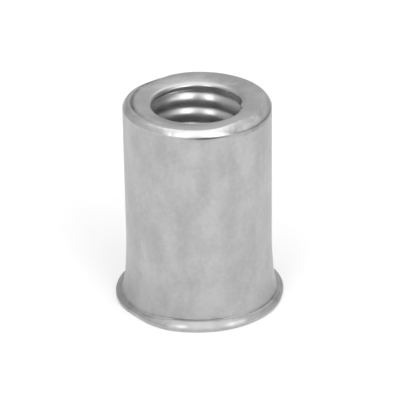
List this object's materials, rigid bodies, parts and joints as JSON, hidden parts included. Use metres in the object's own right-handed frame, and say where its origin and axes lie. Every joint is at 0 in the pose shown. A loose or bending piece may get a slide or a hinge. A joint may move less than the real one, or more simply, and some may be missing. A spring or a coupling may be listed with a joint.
{
  "type": "rivet nut",
  "caption": "Blind rivet nut for an M8 screw: plain round shank, small flat head and open threaded end.",
  "frame": {"origin": "centre of the head's outer face, which is what the nut stands on", "axes": "+Z along the axis, from the head to the threaded end; the nut is round, so X and Y are free"},
  "size_m": [0.0128, 0.0128, 0.016],
  "materials": {
    "aluminium": "bare aluminium, tumbled matte outside, bright where it is tapped"
  },
  "bodies": {
    "root": {"rivet_nut": "aluminium"}
  },
  "joints": []
}
